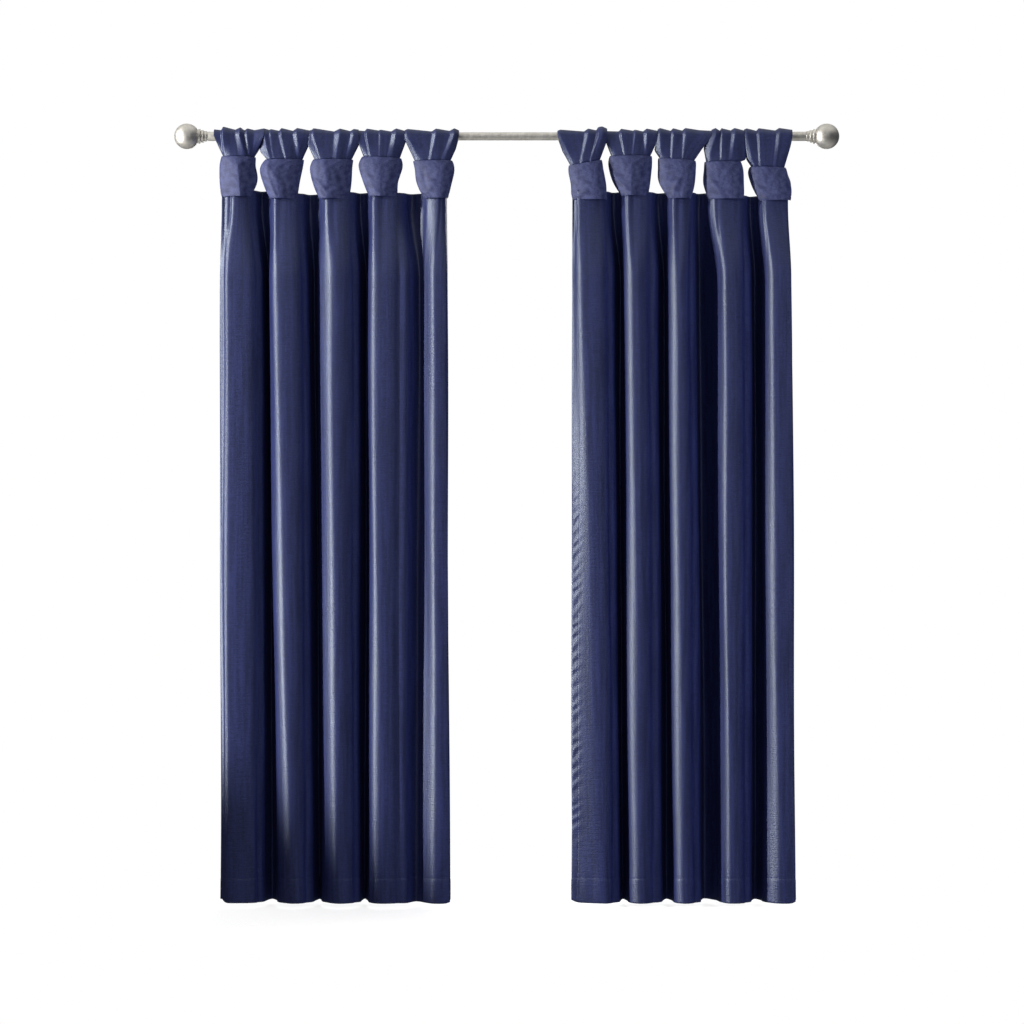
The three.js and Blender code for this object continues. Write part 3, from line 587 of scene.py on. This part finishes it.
# One row per fold, left to right, in metres from the panel's centre. upper and hem are its places where it is
# full and at the hem: left shoulder, crest, right shoulder and the valley to its right. fore is the reach of
# the shoulders and the crest into the room, back the valley's depth behind the rod's axis, and sag the dip of
# the top edge over the valley. gather is the crest's place under its band, from -1 to 1. The last row's valley
# is the right side edge.
FOLDS = {
    "left": [
        dict(upper=(-0.303, -0.287, -0.226, -0.184), hem=(-0.303, -0.285, -0.220, -0.178),
             fore=(0.032, 0.043, 0.037), back=0.048, sag=0.000, gather=-0.05),
        dict(upper=(-0.177, -0.155, -0.098, -0.060), hem=(-0.152, -0.117, -0.084, -0.044),
             fore=(0.022, 0.052, 0.045), back=0.046, sag=0.009, gather=-0.50),
        dict(upper=(-0.043, -0.005, 0.042, 0.084), hem=(-0.031, 0.006, 0.048, 0.082),
             fore=(0.012, 0.052, 0.043), back=0.050, sag=0.005, gather=-0.40),
        dict(upper=(0.097, 0.118, 0.170, 0.232), hem=(0.099, 0.124, 0.166, 0.224),
             fore=(0.029, 0.052, 0.049), back=-0.006, sag=0.007, gather=-0.55),
        dict(upper=(0.251, 0.275, 0.307, 0.313), hem=(0.250, 0.278, 0.314, 0.320),
             fore=(0.026, 0.053, 0.053), back=-0.038, sag=0.000, gather=0.20),
    ],
    "right": [
        dict(upper=(-0.298, -0.276, -0.220, -0.170), hem=(-0.297, -0.225, -0.200, -0.164),
             fore=(0.027, 0.049, 0.046), back=0.046, sag=0.003, gather=-0.45),
        dict(upper=(-0.160, -0.138, -0.104, -0.048), hem=(-0.145, -0.118, -0.092, -0.042),
             fore=(0.029, 0.052, 0.046), back=0.048, sag=0.005, gather=-0.45),
        dict(upper=(-0.039, -0.017, 0.010, 0.050), hem=(-0.022, 0.003, 0.026, 0.064),
             fore=(0.029, 0.052, 0.046), back=0.054, sag=0.006, gather=-0.40),
        dict(upper=(0.097, 0.118, 0.158, 0.204), hem=(0.106, 0.130, 0.164, 0.204),
             fore=(0.020, 0.051, 0.044), back=0.046, sag=0.014, gather=-0.35),
        dict(upper=(0.226, 0.249, 0.292, 0.2985), hem=(0.228, 0.264, 0.305, 0.3115),
             fore=(0.018, 0.051, 0.049), back=-0.036, sag=0.000, gather=-0.50),
    ],
}
SIDE_EDGES = {"left": (-0.313, -0.025), "right": (-0.304, -0.020)}
# Soft troughs (height below 0) and ridges (above 0), listed one by one: place across the panel at the top
# and at the bottom of the mark, in the points of the plan (six a fold, a crest at 3), top, bottom, height and
# width.
MARKS = {
    "left": [
        (2.55, 2.50, -0.150, -0.290, -0.0040, 0.16),
        (8.30, 8.50, -0.150, -0.330, -0.0015, 0.14),
        (9.30, 9.10, -0.150, -0.360, -0.0020, 0.16),
        (15.40, 15.20, -0.150, -0.340, -0.0022, 0.18),
        (20.70, 20.60, -0.150, -0.300, -0.0015, 0.12),
        (21.50, 21.30, -0.150, -0.420, -0.0025, 0.20),
        (27.40, 27.20, -0.150, -0.350, -0.0020, 0.16),
        (4.45, 4.45, -0.240, -2.113, -0.0034, 0.22),
        (10.45, 10.45, -0.240, -2.113, -0.0034, 0.22),
        (16.45, 16.45, -0.240, -2.113, -0.0034, 0.22),
        (22.25, 22.25, -0.240, -2.113, -0.0034, 0.22),
        (4.95, 4.95, -0.240, -2.113, 0.0038, 0.28),
        (16.95, 16.95, -0.260, -2.113, 0.0038, 0.28),
        (22.80, 22.80, -0.240, -2.113, 0.0036, 0.30),
        (10.95, 10.95, -0.300, -2.113, 0.0034, 0.26),
    ],
    "right": [
        (2.40, 2.55, -0.150, -0.300, -0.0018, 0.16),
        (8.70, 8.60, -0.150, -0.320, -0.0018, 0.14),
        (9.35, 9.20, -0.150, -0.400, -0.0022, 0.18),
        (15.35, 15.20, -0.150, -0.420, -0.0022, 0.18),
        (20.95, 20.70, -0.150, -0.330, -0.0022, 0.18),
        (26.80, 26.60, -0.150, -0.360, -0.0018, 0.14),
        (4.45, 4.45, -0.240, -2.113, -0.0034, 0.22),
        (10.45, 10.45, -0.240, -2.113, -0.0034, 0.22),
        (16.45, 16.45, -0.240, -2.113, -0.0034, 0.22),
        (22.45, 22.45, -0.240, -2.113, -0.0034, 0.22),
        (9.45, 9.50, -0.300, -1.700, 0.0014, 0.14),
        (4.95, 4.95, -0.240, -2.113, 0.0038, 0.28),
        (10.95, 10.95, -0.240, -2.113, 0.0038, 0.28),
        (16.90, 16.90, -0.240, -2.113, 0.0038, 0.28),
        (22.95, 22.95, -0.240, -2.113, 0.0038, 0.28),
    ],
}


def fold_plan(z, folds, rows, edge):
    """Control points of a panel's plan at each height: its left side edge, then for every fold the side of the
    valley before it, its shoulder, crest, shoulder, the ledge towards the next valley, and that valley. At the
    top they are drawn in to the bands' feet, and they drift from their upper places to those at the hem."""
    open_ = (1 - eased(z, OPEN_TO, OPEN_FROM))[:, None]
    down = np.maximum(0, (OPEN_TO - z) / (OPEN_TO - HEM))[:, None]
    foot_left, foot_right = np.array([tab["foot"] for tab in rows]).T
    middle, half = (foot_left + foot_right) / 2, (foot_right - foot_left) / 2
    gaps = np.append((foot_right[:-1] + foot_left[1:]) / 2, foot_right[-1] - EDGE_INSET)
    gather = np.array([fold["gather"] for fold in folds])
    shoulder = blend(TOP_PLACES[0], gather, SHOULDER_PULL)
    at_top = [middle + share * half for share in (shoulder, gather, TOP_PLACES[1])] + [gaps]
    upper, hem = (np.array([fold[key] for fold in folds]).T for key in ("upper", "hem"))
    left_x, crest_x, right_x, valley_x = (blend(top, blend(above, below, down), open_)
                                          for top, above, below in zip(at_top, upper, hem))
    back = np.array([fold["back"] for fold in folds])
    fore = -np.array([fold["fore"] for fold in folds]).T
    left_y, crest_y, right_y = (blend(top, full, open_) for top, full in zip(TOP_DEPTHS, fore))
    valley_y = blend(TOP_VALLEY, back, open_)
    edge_x = blend(foot_left[:1] + EDGE_INSET, edge[0], open_)
    edge_y = blend(TOP_DEPTHS[0], edge[1], open_)
    before_x, before_y = np.hstack([edge_x, valley_x[:, :-1]]), np.hstack([edge_y, valley_y[:, :-1]])
    x = np.stack([blend(left_x, before_x, VALLEY_INWARD), left_x, crest_x, right_x,
                  blend(right_x, valley_x, LEDGE_INWARD), valley_x], axis=-1)
    y = np.stack([blend(left_y, before_y, VALLEY_DEEP), left_y, crest_y, right_y,
                  blend(right_y, valley_y, LEDGE_DEEP), valley_y], axis=-1)
    plan = np.stack([x, y], axis=-1).reshape(len(z), -1, 2)
    return np.concatenate([np.stack([edge_x, edge_y], axis=-1), plan], axis=1)


def uneven_wave(across, length, shift, rate):
    """Sine wave of a length whose phase wanders: the sine of the place, shifted by a slower sine of it."""
    return np.sin(2 * np.pi * across / length + shift * np.sin(rate * across))


def hung_panel(side, steps=10):
    """Points of a panel, top edge to hem by left to right: the smooth curve through each height's plan, pushed
    along its own normal by the marks, by the gathers of the heading and by the hem. The folds waver slowly
    aside, and the hem's corners are lifted."""
    stops = TOP_EDGE, FULL_ROWS, HEM + HEM_ZONE, HEM
    runs = [np.linspace(start, end, count) for start, end, count in zip(stops, stops[1:], ROW_COUNTS)]
    z = np.concatenate([runs[0], runs[1][1:], runs[2][1:]])
    plan = through(fold_plan(z, FOLDS[side], TABS[side], SIDE_EDGES[side]), steps)
    place = np.arange(plan.shape[1]) / steps
    z = z[:, None]
    waver = eased(z, OPEN_FROM, LOOSE_FROM) * sum(aside * np.sin(down * z + along * place + WAVER_PHASES[side])
                                                  for aside, down, along in WAVERS)
    out = np.zeros_like(plan[..., 0])
    for at_top, at_bottom, top, bottom, rise, width in MARKS[side]:
        share = (z - top) / (bottom - top)
        fade = eased(share, *MARK_START) * (1 - eased(share, *MARK_END) * (bottom > HEM))
        out += fade * rise * np.exp(-((place - blend(at_top, at_bottom, share)) / width) ** 2)
    inner_valleys = POINTS_PER_FOLD * np.arange(1, 5)[:, None]
    in_valley = np.sum(np.exp(-((place - inner_valleys) / GATHER_ACROSS) ** 2), axis=0)
    across = arc_length(plan, 1)
    gathered = in_valley * np.exp(-((z - (TOP_EDGE - HEADING)) / GATHER_DOWN) ** 2)
    out += GATHER_DEPTH * gathered * uneven_wave(across, GATHER_LENGTH, *GATHER_UNEVEN)
    above_hem = z - HEM
    out += HEM_STEP * (1 - eased(above_hem, HEM_HEIGHT - HEM_STEP_WIDTH, HEM_HEIGHT + HEM_STEP_WIDTH))
    out -= STITCH_DEPTH * np.exp(-((above_hem - HEM_HEIGHT) / STITCH_WIDTH) ** 2)
    ripple = np.exp(-((above_hem - RIPPLE_PLACE) / RIPPLE_WIDTH) ** 2)
    out += RIPPLE_DEPTH * ripple * uneven_wave(across, RIPPLE_LENGTH, *RIPPLE_UNEVEN)
    tangent = np.gradient(plan, axis=1)
    normal = np.stack([tangent[..., 1], -tangent[..., 0]], axis=-1)
    plan = plan + normal / np.linalg.norm(normal, axis=-1, keepdims=True) * out[..., None]
    sag = np.array([[fold["sag"]] for fold in FOLDS[side]])
    valleys = POINTS_PER_FOLD * np.arange(1, 6)[:, None]
    dip = np.sum(sag * (1 - eased(np.abs(place - valleys), SAG_FLAT, SAG_END)), axis=0)
    corner = np.minimum(across, across[:, -1:] - across)
    lift = CORNER_LIFT * np.exp(-(corner / CORNER_REACH) ** 2) * (1 - eased(above_hem, 0, HEM_HEIGHT))
    tall = z - eased(z, OPEN_TO, TOP_EDGE) * dip + lift
    return np.stack([plan[..., 0] + waver, plan[..., 1], np.broadcast_to(tall, waver.shape)], axis=-1)


def panel_seams(start, place):
    """Height of a panel's stitching: rows of stitches at the heading, at the hem and along the side hems, each
    a narrow groove, and the slanting puckers of a side seam that was sewn too tight, where the pucker mark
    says."""
    across, along = (place.node("ShaderNodeSeparateXYZ", None, {0: place}, output=axis) for axis in "XY")
    edge = start.node("ShaderNodeAttribute", {"attribute_name": "edge"}, output="Fac")
    above = start.node("ShaderNodeAttribute", {"attribute_name": "above_hem"}, output="Fac")
    tight = start.node("ShaderNodeAttribute", {"attribute_name": "pucker"}, output="Fac")
    grooves = (above.bell(HEM_HEIGHT, GROOVE_WIDTH) + along.bell(HEADING, GROOVE_WIDTH)
               + edge.bell(SIDE_HEM, SIDE_GROOVE_WIDTH))
    stitches = 0.7 + 0.3 * start.math("SINE", (across + along) * (2 * np.pi / STITCH_LENGTH))
    uneven = place.noise(1.0, detail=2.0, stretch=(14, 14, 1))
    slant = start.math("SINE", (along + PUCKER_LEAN * across) * (2 * np.pi / PUCKER_LENGTH)
                       + PUCKER_SHIFT * uneven)
    return tight * slant * uneven * PUCKER_HEIGHT - GROOVE_HEIGHT * grooves * stitches


panel_satin = satin("panel_satin", panel_seams)
for side in PANEL_CENTRES:
    points = hung_panel(side)
    across = arc_length(points, 1)
    from_edge = np.minimum(across, across[:, -1:] - across)
    z = points[..., 2]
    pucker = np.exp(-((across - PUCKER_PLACE) / PUCKER_WIDTH) ** 2)
    pucker = pucker * eased(z, *PUCKER_TOP) * eased(z, *PUCKER_FOOT)
    panel = cloth_piece(f"hung_panel_{side}", points + (PANEL_CENTRES[side], 0, 0),
                        edge=from_edge, above_hem=z - HEM, pucker=pucker * (side == "right"))
    panel.data.materials.append(panel_satin)
    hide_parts(f"panel_{side}")


# Studio: a pale floor just under the hems that fades out into a white surround, two spot lamps at the left
# whose cones end above the lower left corner, two dim cards in front, a fill at the right and a card behind.
# The camera is eight metres in front, level with the middle of the drop.
FLOOR_DROP, FLOOR_RADIUS, FLOOR_ALPHA = 0.012, 1.15, 0.65
SIDE_GLOW, SKY_GLOW, GROUND_GLOW = (0.05, 0.053, 0.065, 1), (0.75, 0.75, 0.75, 1), (0.4, 0.4, 0.4, 1)
CAMERA, LENS = (0.0145, -8.0, -1.0378), 101.8


def floor_paint():
    """White paint that fades away from the middle of the floor to its rim."""
    material, start, shader = finish("floor_paint", Base_Color=(0.85, 0.85, 0.86, 1), Roughness=0.7,
                                     Specular_IOR_Level=0.1, Emission_Color=(1, 1, 1, 1),
                                     Emission_Strength=0.55)
    place = start.node("ShaderNodeTexCoord", output="Object")
    flat = start.node("ShaderNodeVectorMath", {"operation": "MULTIPLY"}, {0: place, 1: (1, 1, 0)})
    out = start.node("ShaderNodeVectorMath", {"operation": "LENGTH"}, {0: flat}, output="Value")
    feed(shader, Alpha=FLOOR_ALPHA - FLOOR_ALPHA * out.between(0.35 * FLOOR_RADIUS, 0.98 * FLOOR_RADIUS))
    return material


def studio_floor(sides=96):
    """Flat disc round the point under the rod's middle."""
    turn = np.linspace(0, 2 * np.pi, sides, endpoint=False)
    level = np.full(sides, HEM - FLOOR_DROP)
    ring = np.stack([FLOOR_RADIUS * np.cos(turn), FLOOR_RADIUS * np.sin(turn), level], axis=-1)
    mesh = bpy.data.meshes.new("studio_floor")
    mesh.from_pydata(ring.tolist(), [], [list(range(sides))])
    mesh.materials.append(floor_paint())
    floor = bpy.data.objects.new("studio_floor", mesh)
    floor.visible_glossy = floor.visible_diffuse = floor.visible_shadow = False
    bpy.context.collection.objects.link(floor)


def lamp(name, kind, place, direction, power, mirrored=True, **settings):
    """Light of a kind at a place, turned to shine in a direction. One that isn't mirrored lights the cloth
    without showing in its gloss."""
    light = bpy.data.lights.new(name, kind)
    light.energy = power
    for setting, value in settings.items():
        setattr(light, setting, value)
    made = bpy.data.objects.new(name, light)
    made.location = place
    made.rotation_euler = Vector(direction).to_track_quat("-Z", "Y").to_euler()
    made.visible_glossy = mirrored
    bpy.context.collection.objects.link(made)


def white_surround():
    """World that the camera sees as white, and that lights the curtains dimly, more from above and below than
    from the sides."""
    world = bpy.data.worlds.new("white_surround")
    world.use_nodes = True
    shader = world.node_tree.nodes["Background"]
    start = Wire(world.node_tree)
    up = start.node("ShaderNodeSeparateXYZ", None,
                    {0: start.node("ShaderNodeTexCoord", output="Generated")}, output="Z")
    seen = start.node("ShaderNodeLightPath", output="Is Camera Ray")
    above = up.between(0.3, 0.9).mix(SIDE_GLOW, SKY_GLOW)
    around = up.between(-0.4, -0.9).mix(above, GROUND_GLOW)
    feed(shader, Color=seen.mix(around, (1, 1, 1, 1)))
    bpy.context.scene.world = world


studio_floor()
lamp("key_high", "SPOT", (-3.9, -1.45, 0.75), (0.9, 0.4, 0.15), 590, shadow_soft_size=0.1,
     spot_size=np.radians(90.1), spot_blend=0.05)
lamp("key_low", "SPOT", (-3.9, -1.45, -1.55), (0.9, -0.5, 0.85), 525, shadow_soft_size=0.1,
     spot_size=np.radians(131.9), spot_blend=0.05)
lamp("front_high", "AREA", (0.0, -5.6, 0.95), (0.0, 1.0, -0.2), 16, shape="RECTANGLE", size=4.0, size_y=0.55)
lamp("front_low", "AREA", (1.8, -5.6, -0.7), (0.0, 1.0, 0.0), 24, mirrored=False,
     shape="RECTANGLE", size=3.0, size_y=2.9)
lamp("right", "AREA", (2.3, -1.6, -0.9), (-1.8, 1.6, 0.0), 28, mirrored=False,
     shape="RECTANGLE", size=1.2, size_y=3.0)
lamp("behind", "AREA", (0.0, 5.5, 0.3), (0.0, -5.5, -1.3), 140, shape="RECTANGLE", size=3.0, size_y=2.5)
white_surround()
bpy.context.scene.view_settings.view_transform = "Standard"
camera = bpy.data.objects.new("camera", bpy.data.cameras.new("camera"))
camera.location, camera.rotation_euler = CAMERA, (np.pi / 2, 0, 0)
camera.data.lens = LENS
bpy.context.collection.objects.link(camera)
bpy.context.scene.camera = camera
